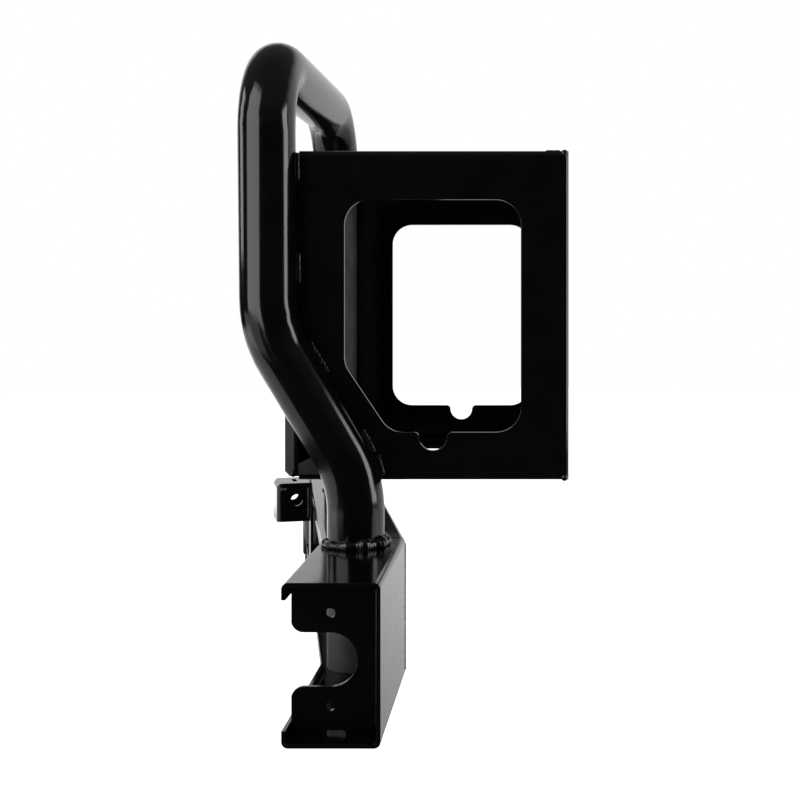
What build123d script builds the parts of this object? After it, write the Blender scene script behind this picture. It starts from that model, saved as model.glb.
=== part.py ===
from build123d import *
import math
import os

# Swing-away spare tire carrier: a folded steel beam with a bearing hub at one end, a latch plate
# at the other, a bent tube hoop on top and a hollow wheel-mount box between the hoop's legs.
# Origin: on the pivot axis, where the spindle's collar seats on the bumper. +X points rearward,
# +Y runs along the beam towards the pivot, +Z is up. All sizes are in millimetres.

# ------------------------------------------------------------------ driving dimensions
SHEET = 4.0                    # thickness of every folded sheet
FOLD_R = 6.0                   # outer radius of a fold
GAP = 0.1                      # clearance between welded neighbours

BEAM_DEPTH = 90.6              # web to lips
BEAM_HEIGHT = 151.0
BEAM_BOTTOM = 25.0             # height of the beam's underside above the spindle's seat
BEAM_LIP = 16.0                # height of each return lip
PIVOT_SECTION_YAW = 12.0       # the long section leans towards the vehicle, degrees
LATCH_SECTION_YAW = 1.35
PIVOT_SECTION_LENGTH = 784.0   # fold to pivot axis
LATCH_REACH = 1001.0           # pivot axis to the latch end
MITRE_OVERRUN = 60.0           # each section is made this much longer, then cut at the mitre
WEB_TAIL = 20.0                # the web runs this far past the pivot axis
WEB_TAIL_DEPTH = 10.0          # width of flange left beside the web there

TUBE_OD = 60.3
TUBE_WALL = 3.0
TUBE_BEND_R = 127.0            # centreline radius of the legs' bends
TOP_BEND_R = 82.0              # centreline radius of the two top bends
JOG_BEND_R = 400.0             # centreline radius of the far leg's slight jog
NEAR_LEG_Y = -805.0
LEG_SPACING = 439.0
LEG_END_Z = 49.0               # the legs pass through the beam's top and end here
HOOP_TOP_Z = 692.0             # centreline height of the crossing tube
HOOP_TOP_X = 69.8
SHOULDER_X = 73.0              # leg centreline at the upper bend
SHOULDER_Z = 401.7
KNEE_Z = 247.8                 # leg centreline height at the lower bend
NEAR_FOOT_X = 165.1
FAR_FOOT_X = 84.0

BOX_FRONT = 102.1              # vehicle side of the wheel-mount box
BOX_REAR = 390.4               # wheel face
BOX_BOTTOM = 243.2
BOX_TOP = 595.0
BOX_INSET = 12.0               # box side faces stand this far inside the leg centrelines
PAN_FLANGE = 90.0              # top and bottom flanges of each side pan
PAN_REAR_FLANGE = 30.0
WINDOW_FRONT = 150.9
WINDOW_REAR = 339.4
WINDOW_BOTTOM = 294.2
WINDOW_TOP = 542.6
WINDOW_R = 27.0
WINDOW_CUT_Z = 366.1           # where the near window's corner cut meets its front edge
WINDOW_CUT_X = 199.3           # where that cut meets its bottom edge
NOTCH_X = 245.4
NOTCH_Z = 289.7
NOTCH_R = 14.9
NOTCH_MOUTH_R = 5.0
PANEL_FLANGE = 14.7            # front panel's flange at each end
PANEL_CHAMFER = 5.5            # lower corner of that flange
PANEL_OVERBEND = 4.5           # that flange is folded this much past square, degrees
GUSSET_TOP_Z = 260.4           # filler gusset's height at the front panel
GUSSET_SLOPE = 0.47            # rise of its top edge towards the near leg
MOUNT_PLATE = 8.0              # wheel-mount plate thickness
WHEEL_BORE_R = 55.0
STUD_PCD = 139.7
STUD_COUNT = 6
STUD_HOLE_R = 7.5

LATCH_PLATE = 5.0
LATCH_RECESS = 29.5            # latch plate's set-back from the beam end
LATCH_EDGE_INSET = 4.6         # latch plate's free edge, in from the lips' inner face
LATCH_SLOT_X = 166.8
LATCH_SLOT_DROP = 1.9          # slot's centre, below the beam's mid-height
LATCH_SLOT_R = 25.2
LATCH_JAW_R = 12.0
LATCH_HOLE_R = 4.5
LATCH_HOLE_SPREAD = 43.3       # from the slot's centre up and down to each hole
DRAIN_X = 171.8                # drain hole in the bottom flange and notch in the plate above it
DRAIN_WIDTH = 18.5
DRAIN_LENGTH = 11.0
DRAIN_HEIGHT = 3.6
DRAIN_CORNER_R = 2.6
DRAIN_SETBACK = 17.0           # hole centre, in from the beam's end

BRACKET_START = 493.5          # along the pivot section, from the fold
BRACKET_LENGTH = 70.0
BRACKET_REACH = 47.2           # near ear, out from the lips towards the vehicle
BRACKET_SKEW = 4.5             # the bracket leans out further at its far ear, degrees
BRACKET_HEIGHT = 55.4
BRACKET_SHEET = 5.0
BRACKET_FOLD_R = 8.0           # outer radius of its folds
BRACKET_HOLE_R = 8.25
BRACKET_HOLE_OUT = 19.2        # hole centre, out from the lips
BRACKET_HOLE_DROP = 24.4       # hole centre, below the beam's top
BRACKET_RELIEF_WIDTH = 6.0     # oblong hole in the bracket's top
BRACKET_RELIEF_LENGTH = 28.0
BRACKET_ROOT = 12.0            # how far the bracket's blank runs into the beam before it is trimmed
BACKING_LENGTH = 96.0

HUB_OD = 92.0
HUB_BORE_R = 28.0
CUP_R = 32.544                 # bearing cup outer radius
CUP_HEIGHT = 14.0
CONE_HEIGHT = 18.0
SEAT_R = 17.4625               # spindle radius under the bearing cones
LOWER_BEARING_Z = 41.0         # mid-height of each bearing
UPPER_BEARING_Z = 150.0
BEARING_TAPER = 12.5           # degrees
RACE_R = 22.6                  # cone race radius at mid-height
ROLLER_R = 2.8
ROLLER_LENGTH = 11.5
ROLLER_COUNT = 20
ROLLER_CONE_GAP = 0.1
ROLLER_CUP_GAP = 0.3

SHANK_R = 25.0                 # spindle part that goes into the bumper's socket
SHANK_LENGTH = 45.0
COLLAR_R = 42.5
COLLAR_TOP = 21.5
SEAL_LAND_R = 24.0
THREAD_R = 12.0
SPINDLE_TOP = 182.0
NUT_ACROSS_FLATS = 36.0
NUT_HEIGHT = 17.0
WASHER_THICKNESS = 3.0
PIN_R = 1.9
CAP_TOP = 193.0

# ------------------------------------------------------------------ derived places
HUB_R = HUB_OD / 2
HUB_OFFSET = SHEET + HUB_R + 0.05
BEAM_TOP = BEAM_BOTTOM + BEAM_HEIGHT
BEAM_MID_Z = BEAM_BOTTOM + BEAM_HEIGHT / 2
FAR_LEG_Y = NEAR_LEG_Y + LEG_SPACING
TUBE_R = TUBE_OD / 2
BOX_NEAR = NEAR_LEG_Y + BOX_INSET
BOX_FAR = FAR_LEG_Y - BOX_INSET
BOX_MID_Y = (BOX_NEAR + BOX_FAR) / 2
BOX_MID_Z = (BOX_BOTTOM + BOX_TOP) / 2
LATCH_FACE_Y = -LATCH_REACH + LATCH_RECESS
LATCH_SLOT_Z = BEAM_MID_Z - LATCH_SLOT_DROP
LATCH_BLANK = LATCH_REACH - PIVOT_SECTION_LENGTH + MITRE_OVERRUN   # latch section before trimming


def along(yaw):
    """Unit vector along a beam section, towards the pivot."""
    angle = math.radians(yaw)
    return Vector(-math.sin(angle), math.cos(angle), 0)


def outward(yaw):
    """Unit vector square to a beam section, towards the vehicle."""
    direction = along(yaw)
    return Vector(-direction.Y, direction.X, 0)


FOLD_POINT = (
    along(PIVOT_SECTION_YAW) * -PIVOT_SECTION_LENGTH
    + outward(PIVOT_SECTION_YAW) * -HUB_OFFSET
)


def section_plane(yaw, distance=0.0):
    """Plane across a beam section: x from the web towards the vehicle, y up."""
    origin = FOLD_POINT + along(yaw) * distance
    return Plane(origin=origin, x_dir=outward(yaw), z_dir=along(yaw))


def slab(x0, x1, y0, y1, z0, z1):
    """Box between two corners."""
    return Pos((x0 + x1) / 2, (y0 + y1) / 2, (z0 + z1) / 2) * Box(x1 - x0, y1 - y0, z1 - z0)


def side_plate(outline, y0, y1):
    """Flat plate drawn in X and Z, between two Y values."""
    return extrude(Plane.XZ.offset(-y1) * outline, amount=y1 - y0)


def ring(profile):
    """Solid of revolution about the pivot axis, from (radius, height) points."""
    return revolve(Plane.XZ * make_face(Polyline(profile, close=True)), axis=Axis.Z)


def upright(radius, z0, z1, x=0.0, y=0.0):
    """Vertical cylinder between two heights."""
    return Pos(x, y, (z0 + z1) / 2) * Cylinder(radius, z1 - z0)


# ------------------------------------------------------------------ beam
def beam_hollow():
    """Section of the beam's inside, between web and lips."""
    centre = Pos(BEAM_DEPTH / 2, BEAM_MID_Z)
    return centre * RectangleRounded(BEAM_DEPTH - 2 * SHEET, BEAM_HEIGHT - 2 * SHEET, FOLD_R - SHEET)


def beam_section():
    """C section with return lips, its mouth towards the vehicle."""
    outer = Pos(BEAM_DEPTH / 2, BEAM_MID_Z) * RectangleRounded(BEAM_DEPTH, BEAM_HEIGHT, FOLD_R)
    mouth = Pos(BEAM_DEPTH, BEAM_MID_Z) * Rectangle(4 * SHEET, BEAM_HEIGHT - 2 * BEAM_LIP)
    return outer - beam_hollow() - mouth


def mitre_plane():
    """Upright plane that halves the angle between the two beam sections."""
    normal = (along(PIVOT_SECTION_YAW) + along(LATCH_SECTION_YAW)).normalized()
    return Plane(origin=FOLD_POINT, z_dir=normal)


def leg_hole(x, y):
    return upright(TUBE_R + GAP, BEAM_MID_Z, BEAM_TOP + 1, x, y)


def pivot_section():
    """Long section, mitred at the fold; its web runs on past the hub."""
    length = PIVOT_SECTION_LENGTH + MITRE_OVERRUN + WEB_TAIL
    plane = section_plane(PIVOT_SECTION_YAW, -MITRE_OVERRUN)
    body = extrude(plane * beam_section(), amount=length)
    body = split(body, bisect_by=mitre_plane(), keep=Keep.TOP)
    body -= upright(HUB_R + GAP / 2, 0, BEAM_TOP + 1)
    beyond_hub = Pos(BEAM_DEPTH / 2 + WEB_TAIL_DEPTH, BEAM_MID_Z) * Rectangle(BEAM_DEPTH, BEAM_HEIGHT + 2)
    pivot_plane = section_plane(PIVOT_SECTION_YAW, PIVOT_SECTION_LENGTH)
    body -= extrude(pivot_plane * beyond_hub, amount=2 * WEB_TAIL)
    return body - leg_hole(FAR_FOOT_X, FAR_LEG_Y)


def latch_section():
    """Short section, its far end mitred and its latch end square to Y."""
    plane = section_plane(LATCH_SECTION_YAW, -LATCH_BLANK)
    body = extrude(plane * beam_section(), amount=LATCH_BLANK + MITRE_OVERRUN)
    body = split(body, bisect_by=mitre_plane(), keep=Keep.BOTTOM)
    end = Plane(origin=(0, -LATCH_REACH, 0), z_dir=(0, 1, 0))
    body = split(body, bisect_by=end, keep=Keep.TOP)
    slot = Pos(DRAIN_X, -LATCH_REACH + DRAIN_SETBACK, BEAM_BOTTOM) * SlotOverall(DRAIN_WIDTH, DRAIN_LENGTH)
    body -= extrude(slot, amount=SHEET + 1, both=True)
    return body - leg_hole(NEAR_FOOT_X, NEAR_LEG_Y)


def latch_end_plate():
    """Plate across the beam's hollow, with a slot open towards the vehicle and two holes."""
    lip_x = (section_plane(LATCH_SECTION_YAW) * Pos(BEAM_DEPTH - SHEET, 0, 0)).position.X
    edge_x = lip_x + LATCH_EDGE_INSET
    sheet = Pos(edge_x + BEAM_DEPTH / 2, BEAM_MID_Z) * Rectangle(BEAM_DEPTH, BEAM_HEIGHT)
    slot = Pos(LATCH_SLOT_X, LATCH_SLOT_Z) * Circle(LATCH_SLOT_R)
    slot += Pos(LATCH_SLOT_X - BEAM_DEPTH / 2, LATCH_SLOT_Z) * Rectangle(BEAM_DEPTH, 2 * LATCH_SLOT_R)
    sheet -= slot
    jaw_z = (LATCH_SLOT_Z - LATCH_SLOT_R, LATCH_SLOT_Z + LATCH_SLOT_R)
    corners = [
        v for v in sheet.vertices()
        if abs(v.X - edge_x) < 0.01 and min(abs(v.Y - z) for z in jaw_z) < 0.01
    ]
    sheet = fillet(corners, LATCH_JAW_R)
    for side in (-1, 1):
        sheet -= Pos(LATCH_SLOT_X, LATCH_SLOT_Z + side * LATCH_HOLE_SPREAD) * Circle(LATCH_HOLE_R)
    drain = Pos(DRAIN_X, BEAM_BOTTOM + SHEET) * RectangleRounded(DRAIN_WIDTH, 2 * DRAIN_HEIGHT, DRAIN_CORNER_R)
    plate = side_plate(sheet - drain, LATCH_FACE_Y, LATCH_FACE_Y + LATCH_PLATE)
    hollow = extrude(section_plane(LATCH_SECTION_YAW, -LATCH_BLANK) * beam_hollow(), amount=LATCH_BLANK)
    return plate & hollow


# ------------------------------------------------------------------ hoop
def hoop_path():
    corners = [
        (NEAR_FOOT_X, NEAR_LEG_Y, LEG_END_Z),
        (NEAR_FOOT_X, NEAR_LEG_Y, KNEE_Z),
        (SHOULDER_X, NEAR_LEG_Y, SHOULDER_Z),
        (HOOP_TOP_X, NEAR_LEG_Y, HOOP_TOP_Z),
        (HOOP_TOP_X, FAR_LEG_Y, HOOP_TOP_Z),
        (SHOULDER_X, FAR_LEG_Y, SHOULDER_Z),
        (FAR_FOOT_X, FAR_LEG_Y, KNEE_Z),
        (FAR_FOOT_X, FAR_LEG_Y, LEG_END_Z),
    ]
    radii = [TUBE_BEND_R] * 2 + [TOP_BEND_R] * 2 + [JOG_BEND_R] * 2
    return FilletPolyline(*corners, radius=radii)


def hoop_sweep(section):
    start = Plane(origin=(NEAR_FOOT_X, NEAR_LEG_Y, LEG_END_Z), z_dir=(0, 0, 1))
    return sweep(start * section, path=hoop_path())


hoop_tube = hoop_sweep(Circle(TUBE_R)) - hoop_sweep(Circle(TUBE_R - TUBE_WALL))
hoop_clearance = hoop_sweep(Circle(TUBE_R + GAP))


# ------------------------------------------------------------------ wheel-mount box
def window(points):
    """Side window with round corners and a round notch in its bottom edge."""
    opening = make_face(Polyline(points, close=True))
    opening = fillet(opening.vertices(), WINDOW_R)
    opening += Pos(NOTCH_X, NOTCH_Z) * Circle(NOTCH_R)
    mouth = [
        v for v in opening.vertices()
        if abs(v.Y - WINDOW_BOTTOM) < 0.01 and abs(v.X - NOTCH_X) < NOTCH_R + 1
    ]
    return fillet(mouth, NOTCH_MOUTH_R)


def side_pan(face_y, inward, window_points):
    """Side plate folded in along its top, rear and bottom edges; inward is +1 or -1 along Y."""
    x0, x1, z0, z1 = BOX_FRONT, BOX_REAR, BOX_BOTTOM, BOX_TOP
    depth_y = sorted((face_y, face_y + inward * PAN_FLANGE))
    shell = slab(x0, x1, *depth_y, z0, z1)
    folds = [
        e for e in shell.edges()
        if abs(e.center().Y - face_y) < 0.01 and abs(e.center().X - x0) > 0.01
    ]
    shell = fillet(folds, FOLD_R)
    inner_y = sorted((face_y + inward * SHEET, face_y + inward * (PAN_FLANGE + 10.0)))
    hollow = slab(x0 - 10, x1 - SHEET, *inner_y, z0 + SHEET, z1 - SHEET)
    bends = [
        e for e in hollow.edges()
        if abs(e.center().Y - (face_y + inward * SHEET)) < 0.01 and e.center().X > x0
    ]
    shell -= fillet(bends, FOLD_R - SHEET)
    rear_y = sorted((face_y + inward * PAN_REAR_FLANGE, face_y + inward * (PAN_FLANGE + 10.0)))
    shell -= slab(x1 - MOUNT_PLATE - GAP, x1 + 1, *rear_y, z0 + SHEET, z1 - SHEET)
    cut_y = sorted((face_y - inward, face_y + inward * (SHEET + 1)))
    return shell - side_plate(window(window_points), *cut_y)


NEAR_WINDOW = [
    (WINDOW_FRONT, WINDOW_CUT_Z),
    (WINDOW_CUT_X, WINDOW_BOTTOM),
    (WINDOW_REAR, WINDOW_BOTTOM),
    (WINDOW_REAR, WINDOW_TOP),
    (WINDOW_FRONT, WINDOW_TOP),
]
FAR_WINDOW = [(WINDOW_FRONT, WINDOW_BOTTOM)] + NEAR_WINDOW[2:]


def corner_region(y0, y1):
    """Open corner in front of the near leg's slanted run, above the pan's lower fold."""
    outline = Polyline(
        (BOX_FRONT - 1, BOX_BOTTOM + FOLD_R),
        (NEAR_FOOT_X, BOX_BOTTOM + FOLD_R),
        (NEAR_FOOT_X, KNEE_Z),
        (SHOULDER_X, SHOULDER_Z),
        (BOX_FRONT - 1, SHOULDER_Z),
        close=True,
    )
    return side_plate(make_face(outline), y0, y1)


def near_side_plate():
    pan = side_pan(BOX_NEAR, 1, NEAR_WINDOW) - hoop_clearance
    pan -= corner_region(BOX_NEAR - 1, BOX_NEAR + TUBE_R)
    return pan.solids().sort_by(SortBy.VOLUME)[-1]


def near_filler_gusset():
    """Low plate with a slanted top that joins the pan's lower fold, the panel and the near leg."""
    foot_z = BOX_BOTTOM + FOLD_R + GAP
    outline = Polyline(
        (BOX_FRONT, foot_z),
        (NEAR_FOOT_X, foot_z),
        (NEAR_FOOT_X, GUSSET_TOP_Z + (NEAR_FOOT_X - BOX_FRONT) * GUSSET_SLOPE),
        (BOX_FRONT, GUSSET_TOP_Z),
        close=True,
    )
    flat = side_plate(make_face(outline), BOX_NEAR, BOX_NEAR + SHEET) - hoop_clearance
    return flat.solids().sort_by(Axis.X)[0]


def far_side_plate():
    pan = side_pan(BOX_FAR, -1, FAR_WINDOW) - hoop_clearance
    return pan.solids().sort_by(SortBy.VOLUME)[-1]


def front_panel():
    """Panel on the vehicle side of the box, coped round the legs, with a short flange at each end."""
    x1 = BOX_FRONT - GAP
    z0 = BOX_BOTTOM + SHEET
    z1 = BOX_TOP - SHEET
    panel = slab(x1 - SHEET, x1, BOX_NEAR, BOX_FAR, z0, z1)
    for y, inward in ((BOX_NEAR, 1), (BOX_FAR, -1)):
        flange_y = sorted((y, y + inward * SHEET))
        flange = slab(x1 - PANEL_FLANGE, x1 - SHEET, *flange_y, z0, z1)
        tip = flange.edges().filter_by(Axis.Y).sort_by(Axis.Z)[:2].sort_by(Axis.X)[0]
        flange = chamfer(tip, PANEL_CHAMFER)
        fold = Pos(x1 - SHEET, y, 0)
        panel += fold * Rot(0, 0, -inward * PANEL_OVERBEND) * fold.inverse() * flange
    panel -= hoop_clearance
    return panel.solids().sort_by(SortBy.VOLUME)[-1]


def wheel_mount_plate():
    """Thick plate for the wheel, let in flush between the side pans."""
    width = BOX_FAR - BOX_NEAR - 2 * PAN_REAR_FLANGE - 2 * GAP
    height = BOX_TOP - BOX_BOTTOM - 2 * SHEET - 2 * GAP
    centre = Pos(BOX_REAR - MOUNT_PLATE / 2, BOX_MID_Y, BOX_MID_Z)
    plate = centre * Box(MOUNT_PLATE, width, height)
    holes = Circle(WHEEL_BORE_R) + PolarLocations(STUD_PCD / 2, STUD_COUNT, 30) * Circle(STUD_HOLE_R)
    face = Plane(origin=(BOX_REAR, BOX_MID_Y, BOX_MID_Z), x_dir=(0, 1, 0), z_dir=(1, 0, 0))
    return plate - extrude(face * holes, amount=MOUNT_PLATE + 2, both=True)


# ------------------------------------------------------------------ strut bracket
def bracket_plane(distance):
    """Plane across the bracket, square to its own slightly skewed length; x from the lips outward, y up."""
    foot = section_plane(PIVOT_SECTION_YAW, BRACKET_START) * Pos(BEAM_DEPTH, 0, 0)
    yaw = PIVOT_SECTION_YAW + BRACKET_SKEW
    return Plane(origin=foot.position + along(yaw) * distance, x_dir=outward(yaw), z_dir=along(yaw))


def bracket_block(margin):
    """Block in the bracket's own axes, shrunk by a margin on its closed sides and run on into the beam."""
    reach = BRACKET_REACH - margin
    height = BRACKET_HEIGHT - margin
    centre = Pos((reach - BRACKET_ROOT) / 2, BEAM_TOP - margin - height / 2)
    section = centre * Rectangle(reach + BRACKET_ROOT, height)
    return extrude(bracket_plane(margin) * section, amount=BRACKET_LENGTH - 2 * margin)


def folded_edges(solid):
    """The two upright outer edges and the outer top edge, where the bracket's sheet is folded."""
    direction = outward(PIVOT_SECTION_YAW + BRACKET_SKEW)
    outer = sorted(solid.edges(), key=lambda e: e.center().dot(direction))[-4:]
    return sorted(outer, key=lambda e: e.center().Z)[1:]


def strut_bracket():
    """Folded bracket with two drilled ears, an outer web and a top, open below."""
    outer = fillet(folded_edges(bracket_block(0.0)), BRACKET_FOLD_R)
    shell = outer - fillet(folded_edges(bracket_block(BRACKET_SHEET)), BRACKET_FOLD_R - BRACKET_SHEET)
    drill = Pos(BRACKET_HOLE_OUT, BEAM_TOP - BRACKET_HOLE_DROP) * Circle(BRACKET_HOLE_R)
    shell -= extrude(bracket_plane(-1) * drill, amount=BRACKET_LENGTH + 2)
    relief = Pos(BRACKET_HOLE_OUT, BEAM_TOP) * Rectangle(BRACKET_RELIEF_WIDTH, 2 * BRACKET_SHEET + 2)
    shell -= extrude(bracket_plane(BRACKET_LENGTH / 2) * relief, amount=BRACKET_RELIEF_LENGTH / 2, both=True)
    beam_side = Pos(BEAM_DEPTH + GAP - BRACKET_ROOT, BEAM_MID_Z) * Rectangle(2 * BRACKET_ROOT, BEAM_HEIGHT + 2)
    start = section_plane(PIVOT_SECTION_YAW, BRACKET_START - BRACKET_ROOT)
    return shell - extrude(start * beam_side, amount=BRACKET_LENGTH + 2 * BRACKET_ROOT)


def bracket_backing_plate():
    """Flat plate that closes the beam's mouth behind the strut bracket."""
    start = BRACKET_START - (BACKING_LENGTH - BRACKET_LENGTH) / 2
    height = BEAM_HEIGHT - 2 * BEAM_LIP - 2 * GAP
    profile = Pos(BEAM_DEPTH - SHEET / 2, BEAM_MID_Z) * Rectangle(SHEET, height)
    return extrude(section_plane(PIVOT_SECTION_YAW, start) * profile, amount=BACKING_LENGTH)


# ------------------------------------------------------------------ hub and bearings
def bearing_line(offset):
    """Radius at mid-height of a line parallel to the cone race, pushed out by an offset."""
    return RACE_R + offset / math.cos(math.radians(BEARING_TAPER))


def hub_tube():
    body = upright(HUB_R, BEAM_BOTTOM, BEAM_TOP) - upright(HUB_BORE_R, 0, BEAM_TOP + 1)
    body -= upright(CUP_R, 0, LOWER_BEARING_Z + CUP_HEIGHT / 2)
    body -= upright(CUP_R, UPPER_BEARING_Z - CUP_HEIGHT / 2, BEAM_TOP + 1)
    drill = Plane(origin=(0, 0, BEAM_MID_Z), z_dir=outward(PIVOT_SECTION_YAW))
    return body - extrude(drill * Circle(4.0), amount=HUB_R + 2)


def bearing_cup(mid_z, flip):
    """Outer race; flip is +1 for the lower bearing and -1 for the upper one."""
    slope = math.tan(math.radians(BEARING_TAPER))
    race = bearing_line(2 * ROLLER_R + ROLLER_CONE_GAP + ROLLER_CUP_GAP)
    half = CUP_HEIGHT / 2
    return ring([
        (race - half * slope, mid_z + flip * half),
        (CUP_R, mid_z + flip * half),
        (CUP_R, mid_z - flip * half),
        (race + half * slope, mid_z - flip * half),
    ])


def bearing_cone(mid_z, flip):
    """Inner race with a rib at its large end."""
    slope = math.tan(math.radians(BEARING_TAPER))
    half = CONE_HEIGHT / 2
    rib_z = half - 1.8
    rib_r = RACE_R + half * slope + 2.4
    return ring([
        (SEAT_R, mid_z + flip * half),
        (RACE_R - half * slope, mid_z + flip * half),
        (RACE_R + rib_z * slope, mid_z - flip * rib_z),
        (rib_r, mid_z - flip * rib_z),
        (rib_r, mid_z - flip * half),
        (SEAT_R, mid_z - flip * half),
    ])


def bearing_rollers(mid_z, flip):
    """Ring of tilted rollers, each a separate solid."""
    tilt = math.radians(BEARING_TAPER)
    mid_r = RACE_R + (ROLLER_R + ROLLER_CONE_GAP) * math.cos(tilt)
    lift = flip * (ROLLER_R + ROLLER_CONE_GAP) * math.sin(tilt)
    rollers = []
    for index in range(ROLLER_COUNT):
        turn = Rot(0, 0, index * 360 / ROLLER_COUNT)
        roller = Pos(mid_r, 0, mid_z + lift) * Rot(0, -flip * BEARING_TAPER, 0)
        rollers.append(turn * roller * Cylinder(ROLLER_R, ROLLER_LENGTH))
    return Compound(children=rollers)


def pivot_spindle():
    """Stub axle: shank for the bumper's socket, seating collar, bearing seats and threaded end."""
    body = ring([
        (0, -SHANK_LENGTH),
        (SHANK_R - 2, -SHANK_LENGTH),
        (SHANK_R, -SHANK_LENGTH + 2),
        (SHANK_R, 0),
        (COLLAR_R, 0),
        (COLLAR_R, COLLAR_TOP),
        (SEAL_LAND_R, COLLAR_TOP),
        (SEAL_LAND_R, LOWER_BEARING_Z - CONE_HEIGHT / 2),
        (SEAT_R, LOWER_BEARING_Z - CONE_HEIGHT / 2),
        (SEAT_R, UPPER_BEARING_Z + CONE_HEIGHT / 2),
        (THREAD_R, UPPER_BEARING_Z + CONE_HEIGHT / 2),
        (THREAD_R, SPINDLE_TOP - 1.5),
        (THREAD_R - 1.5, SPINDLE_TOP),
        (0, SPINDLE_TOP),
    ])
    return body - Pos(0, 0, pin_height()) * Rot(90, 0, 0) * Cylinder(PIN_R + 0.3, 2 * SEAT_R)


def nut_base():
    return UPPER_BEARING_Z + CONE_HEIGHT / 2 + WASHER_THICKNESS


def pin_height():
    return nut_base() + NUT_HEIGHT - 3.5


def thrust_washer():
    z0 = UPPER_BEARING_Z + CONE_HEIGHT / 2
    return upright(23.0, z0, nut_base()) - upright(THREAD_R + GAP, z0 - 1, nut_base() + 1)


def castle_nut():
    """Hexagon nut with six slots across its top for the split pin."""
    radius = NUT_ACROSS_FLATS / math.sqrt(3)
    blank = extrude(Pos(0, 0, nut_base()) * RegularPolygon(radius, 6), amount=NUT_HEIGHT)
    blank &= ring([
        (0, nut_base()),
        (radius - 2, nut_base()),
        (radius, nut_base() + 1.5),
        (radius, nut_base() + NUT_HEIGHT - 1.5),
        (radius - 3, nut_base() + NUT_HEIGHT),
        (0, nut_base() + NUT_HEIGHT),
    ])
    blank -= upright(THREAD_R + GAP, nut_base() - 1, nut_base() + NUT_HEIGHT + 1)
    slot = Pos(0, 0, nut_base() + NUT_HEIGHT - 2.5) * Box(2 * radius, 2 * PIN_R + 0.8, 7.0)
    for turn in (30, 90, 150):
        blank -= Rot(0, 0, turn) * slot
    return blank


def split_pin():
    """Pin across the nut's slots, with an eye at one end and its tail bent round the nut."""
    reach = NUT_ACROSS_FLATS / 2 + 4.0
    height = pin_height()
    tail_bend_r = 3.0
    route = FilletPolyline(
        (0, -reach, height), (0, reach, height), (-12.0, reach, height), radius=tail_bend_r
    )
    wire = sweep(Plane(origin=(0, -reach, height), z_dir=(0, 1, 0)) * Circle(PIN_R), path=route)
    eye = Pos(0, -reach - 2.5, height) * Rot(0, 90, 0) * Torus(3.2, 1.3)
    return wire + eye


def grease_seal():
    """Rubber lip seal in the hub's lower mouth; its lip runs just clear of the spindle."""
    z0 = BEAM_BOTTOM
    z1 = LOWER_BEARING_Z - CONE_HEIGHT / 2 - 0.6
    return ring([
        (CUP_R - 0.02, z0),
        (CUP_R - 0.02, z1),
        (CUP_R - 5.0, z1),
        (CUP_R - 5.0, z0 + 3.0),
        (SEAL_LAND_R + 0.05, z0 + 3.0),
        (SEAL_LAND_R + 0.05, z0 + 1.5),
        (SEAL_LAND_R + 2.0, z0),
    ])


def dust_cap():
    """Pressed steel cap over the nut, its skirt let into the hub's upper mouth."""
    wall = 1.6
    skirt_z = BEAM_TOP - 8.0
    skirt_r = CUP_R - 0.02
    dome_z = CAP_TOP - 8.0
    profile = [
        (skirt_r - wall, skirt_z),
        (skirt_r, skirt_z),
        (skirt_r, BEAM_TOP),
        (skirt_r + 2.6, BEAM_TOP),
        (skirt_r + 2.6, BEAM_TOP + wall),
        (skirt_r - 1.5, BEAM_TOP + wall),
        (skirt_r - 2.0, dome_z),
        (skirt_r - 8.0, CAP_TOP),
        (0, CAP_TOP),
        (0, CAP_TOP - wall),
        (skirt_r - 8.8, CAP_TOP - wall),
        (skirt_r - 2.0 - wall, dome_z - 0.5),
        (skirt_r - 1.5 - wall, BEAM_TOP),
    ]
    return ring(profile)


def grease_nipple():
    """Hexagon-bodied nipple screwed into the hub's side."""
    direction = outward(PIVOT_SECTION_YAW)
    foot = Plane(origin=direction * (HUB_R - 7.0) + Vector(0, 0, BEAM_MID_Z), z_dir=direction)
    body = extrude(foot * Circle(3.95), amount=7.0)
    body += extrude(foot.offset(7.1) * RegularPolygon(5.5, 6), amount=4.0)
    body += extrude(foot.offset(6.9) * Circle(3.95), amount=0.4)
    body += extrude(foot.offset(11.1) * Circle(2.4), amount=2.6)
    return body + extrude(foot.offset(13.7) * Circle(3.2), amount=2.4, taper=18)


# ------------------------------------------------------------------ nodes
nodes = {
    "beam_pivot_section": pivot_section(),
    "beam_latch_section": latch_section(),
    "latch_end_plate": latch_end_plate(),
    "hoop_tube": hoop_tube,
    "near_side_plate": near_side_plate(),
    "far_side_plate": far_side_plate(),
    "near_filler_gusset": near_filler_gusset(),
    "front_panel": front_panel(),
    "wheel_mount_plate": wheel_mount_plate(),
    "strut_bracket": strut_bracket(),
    "bracket_backing_plate": bracket_backing_plate(),
    "hub_tube": hub_tube(),
    "lower_bearing_cup": bearing_cup(LOWER_BEARING_Z, 1),
    "upper_bearing_cup": bearing_cup(UPPER_BEARING_Z, -1),
    "lower_bearing_cone": bearing_cone(LOWER_BEARING_Z, 1),
    "upper_bearing_cone": bearing_cone(UPPER_BEARING_Z, -1),
    "lower_bearing_rollers": bearing_rollers(LOWER_BEARING_Z, 1),
    "upper_bearing_rollers": bearing_rollers(UPPER_BEARING_Z, -1),
    "grease_seal": grease_seal(),
    "dust_cap": dust_cap(),
    "grease_nipple": grease_nipple(),
    "pivot_spindle": pivot_spindle(),
    "thrust_washer": thrust_washer(),
    "castle_nut": castle_nut(),
    "split_pin": split_pin(),
}

os.makedirs("parts", exist_ok=True)
for name, shape in nodes.items():
    export_step(shape, f"parts/{name}.step")
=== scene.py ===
import math
import random

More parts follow.
